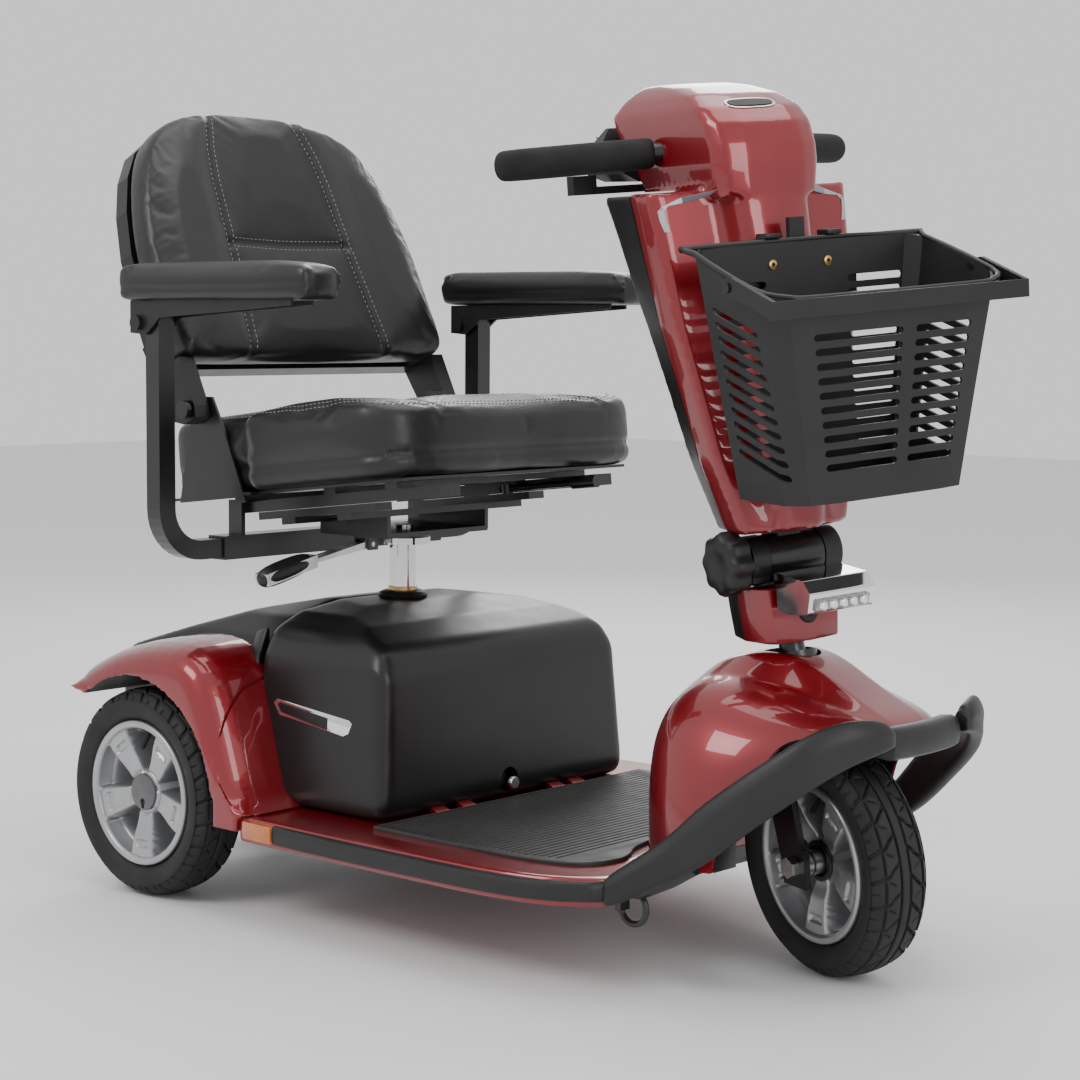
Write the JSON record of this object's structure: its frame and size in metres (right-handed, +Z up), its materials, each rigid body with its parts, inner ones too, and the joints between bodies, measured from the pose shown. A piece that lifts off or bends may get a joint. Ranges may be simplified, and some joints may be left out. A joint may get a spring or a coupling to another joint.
{
  "type": "mobility scooter",
  "caption": "Three-wheeled electric mobility scooter with a swivel seat, folding backrest, flip-up armrests, tilting tiller, delta handlebar and a lift-off front basket.",
  "frame": {"origin": "middle of the bounding box on the ground, between the wheels", "axes": "+X forward, +Y to the rider's left, +Z up"},
  "size_m": [1.1943, 0.614, 0.9637],
  "materials": {
    "candy_red": "clear-coated candy red body panel",
    "black_plastic": "satin moulded black plastic",
    "black_steel": "black powder-coated steel",
    "silver_alloy": "silver painted cast alloy",
    "tyre_rubber": "black treaded tyre",
    "chrome": "bright chrome",
    "zinc_steel": "zinc-plated steel",
    "black_leather": "black grained upholstery",
    "mat_rubber": "ribbed black rubber mat",
    "foam_rubber": "black foam grip",
    "amber_lens": "amber reflector",
    "clear_lens": "clear lens",
    "battery_case": "moulded battery case"
  },
  "bodies": {
    "chassis": {"main_frame": "black_steel", "transaxle": "silver_alloy", "drive_motor": "black_steel", "batteries": "battery_case", "motor_controller": "silver_alloy", "deck_shroud": "candy_red", "floor_mat": "mat_rubber", "side_trim_strips": "black_plastic", "reflectors_and_lamps": "amber_lens", "front_hood": "candy_red", "front_bumper": "black_plastic", "rear_fenders": "candy_red", "battery_cover": "black_plastic", "rear_cover": "black_plastic", "head_bearings": "zinc_steel", "body_screws": "chrome"},
    "steering": {"front_fork": "black_steel", "front_axle": "zinc_steel", "lower_tiller_cover": "candy_red", "tiller_hinge_block": "black_plastic", "headlight_housing": "chrome", "headlight_lens": "clear_lens"},
    "front_wheel": {"front_tyre": "tyre_rubber", "front_rim": "silver_alloy"},
    "rear_wheel_left": {"rear_tyre_left": "tyre_rubber", "rear_rim_left": "silver_alloy"},
    "rear_wheel_right": {"rear_tyre_right": "tyre_rubber", "rear_rim_right": "silver_alloy"},
    "anti_tip": {"anti_tip_wheels": "black_plastic"},
    "freewheel": {"freewheel_lever": "zinc_steel"},
    "tiller": {"tiller_post": "black_steel", "tiller_front_shroud": "candy_red", "tiller_rear_shroud": "black_plastic", "console": "black_plastic", "handlebar": "black_steel", "handlebar_grips": "foam_rubber"},
    "knob": {"tilt_knob": "black_plastic"},
    "basket_body": {"basket": "black_plastic"},
    "bail": {"basket_handle": "black_plastic"},
    "latch": {"basket_latch": "black_plastic"},
    "throttle": {"throttle_lever": "black_plastic"},
    "dial": {"speed_dial": "black_plastic"},
    "key_body": {"key": "zinc_steel"},
    "horn": {"horn_button": "amber_lens"},
    "light_switch": {"light_button": "black_plastic"},
    "post": {"seat_post": "chrome"},
    "swivel": {"seat_swivel_plate": "black_steel"},
    "swivel_release": {"swivel_lever": "zinc_steel"},
    "seat": {"seat_frame": "black_steel", "seat_cushion": "black_leather", "seat_hinge_bolts": "black_steel"},
    "slide_release": {"slide_lever": "black_steel"},
    "backrest": {"backrest_shell": "black_plastic", "backrest_cushion": "black_leather"},
    "armrest_left": {"armrest_tube_left": "black_steel"},
    "armrest_right": {"armrest_tube_right": "black_steel"},
    "arm_left": {"arm_bracket_left": "black_plastic", "arm_pad_left": "black_leather"},
    "arm_right": {"arm_bracket_right": "black_plastic", "arm_pad_right": "black_leather"}
  },
  "joints": [
    {"name": "steering", "type": "hinge", "parent": "chassis", "child": "steering", "pos_m": [0.40285, 0, 0.13], "axis": [-0.2546, 0, 0.967], "range_deg": [-25.6, 64.4]},
    {"name": "front_wheel_spin", "type": "hinge", "parent": "steering", "child": "front_wheel", "pos_m": [0.40289, 0.00025, 0.12701], "axis": [0.3212, 0.9432, 0.0846], "continuous": true},
    {"name": "rear_wheel_left_spin", "type": "hinge", "parent": "chassis", "child": "rear_wheel_left", "pos_m": [-0.41315, 0.258, 0.127], "axis": [0, 1, 0], "continuous": true},
    {"name": "rear_wheel_right_spin", "type": "hinge", "parent": "chassis", "child": "rear_wheel_right", "pos_m": [-0.41315, -0.258, 0.127], "axis": [0, 1, 0], "continuous": true},
    {"name": "anti_tip_spin", "type": "hinge", "parent": "chassis", "child": "anti_tip", "pos_m": [-0.57115, 0, 0.042], "axis": [0, 1, 0], "continuous": true},
    {"name": "freewheel_shift", "type": "hinge", "parent": "chassis", "child": "freewheel", "pos_m": [-0.46815, 0.101, 0.185], "axis": [0, 1, 0], "range_deg": [-35, 0]},
    {"name": "tiller_tilt", "type": "hinge", "parent": "steering", "child": "tiller", "pos_m": [0.33777, -0.0065, 0.44972], "axis": [0.3212, 0.9432, 0.0846], "range_deg": [-10, 14]},
    {"name": "tilt_knob_turn", "type": "hinge", "parent": "steering", "child": "knob", "pos_m": [0.31433, -0.07536, 0.44354], "axis": [0.3212, 0.9432, 0.0846], "continuous": true},
    {"name": "basket_lift", "type": "slide", "parent": "tiller", "child": "basket_body", "axis": [-0.014, -0.0846, 0.9963], "range_m": [0, 0.06]},
    {"name": "basket_bail", "type": "hinge", "parent": "basket_body", "child": "bail", "pos_m": [0.47562, -0.08006, 0.74652], "axis": [-0.3212, -0.9432, -0.0846], "range_deg": [0, 100]},
    {"name": "basket_latch_tip", "type": "hinge", "parent": "tiller", "child": "latch", "pos_m": [0.37675, -0.04902, 0.77587], "axis": [0.3212, 0.9432, 0.0846], "range_deg": [0, 12], "stiffness_Nm_per_rad": 0.1, "springref_deg": -5.73},
    {"name": "throttle_wigwag", "type": "hinge", "parent": "tiller", "child": "throttle", "pos_m": [0.14091, 0.02455, 0.85107], "axis": [-0.014, -0.0846, 0.9963], "range_deg": [-15, 15], "stiffness_Nm_per_rad": 0.4},
    {"name": "speed_dial_turn", "type": "hinge", "parent": "tiller", "child": "dial", "pos_m": [0.11703, 0.02828, 0.90023], "axis": [-0.8788, 0.2636, 0.3977], "range_deg": [-140, 140]},
    {"name": "key_turn", "type": "hinge", "parent": "tiller", "child": "key_body", "pos_m": [0.10289, -0.01322, 0.89651], "axis": [-0.8788, 0.2636, 0.3977], "range_deg": [0, 90]},
    {"name": "horn_press", "type": "slide", "parent": "tiller", "child": "horn", "axis": [0.8788, -0.2636, -0.3977], "range_m": [0, 0.0022], "stiffness_N_per_m": 300, "springref_m": -0.0005},
    {"name": "light_press", "type": "slide", "parent": "tiller", "child": "light_switch", "axis": [0.8788, -0.2636, -0.3977], "range_m": [0, 0.0022], "stiffness_N_per_m": 300, "springref_m": -0.0005},
    {"name": "seat_height", "type": "slide", "parent": "chassis", "child": "post", "axis": [0, 0, 1], "range_m": [0, 0.076]},
    {"name": "seat_swivel", "type": "hinge", "parent": "post", "child": "swivel", "pos_m": [-0.24915, 0, 0.447], "axis": [0, 0, 1], "range_deg": [-120, 120]},
    {"name": "swivel_release_lift", "type": "hinge", "parent": "swivel", "child": "swivel_release", "pos_m": [-0.24915, -0.064, 0.427], "axis": [-1, 0, 0], "range_deg": [0, 8]},
    {"name": "seat_fore_aft", "type": "slide", "parent": "swivel", "child": "seat", "axis": [0.9936, 0, 0.1132], "range_m": [-0.045, 0.05]},
    {"name": "slide_release_swing", "type": "hinge", "parent": "seat", "child": "slide_release", "pos_m": [-0.17204, 0.108, 0.48992], "axis": [0.1132, 0, -0.9936], "range_deg": [0, 10], "stiffness_Nm_per_rad": 0.3, "springref_deg": -5.73},
    {"name": "backrest_fold", "type": "hinge", "parent": "seat", "child": "backrest", "pos_m": [-0.38815, 0, 0.591], "axis": [0, 1, 0], "range_deg": [0, 98]},
    {"name": "armrest_width_left", "type": "slide", "parent": "seat", "child": "armrest_left", "axis": [0, 1, 0], "range_m": [0, 0.06]},
    {"name": "armrest_flip_left", "type": "hinge", "parent": "armrest_left", "child": "arm_left", "pos_m": [-0.40015, 0.276, 0.695], "axis": [0, -1, 0], "range_deg": [0, 95]},
    {"name": "armrest_width_right", "type": "slide", "parent": "seat", "child": "armrest_right", "axis": [0, -1, 0], "range_m": [0, 0.06]},
    {"name": "armrest_flip_right", "type": "hinge", "parent": "armrest_right", "child": "arm_right", "pos_m": [-0.40015, -0.276, 0.695], "axis": [0, -1, 0], "range_deg": [0, 95]}
  ]
}
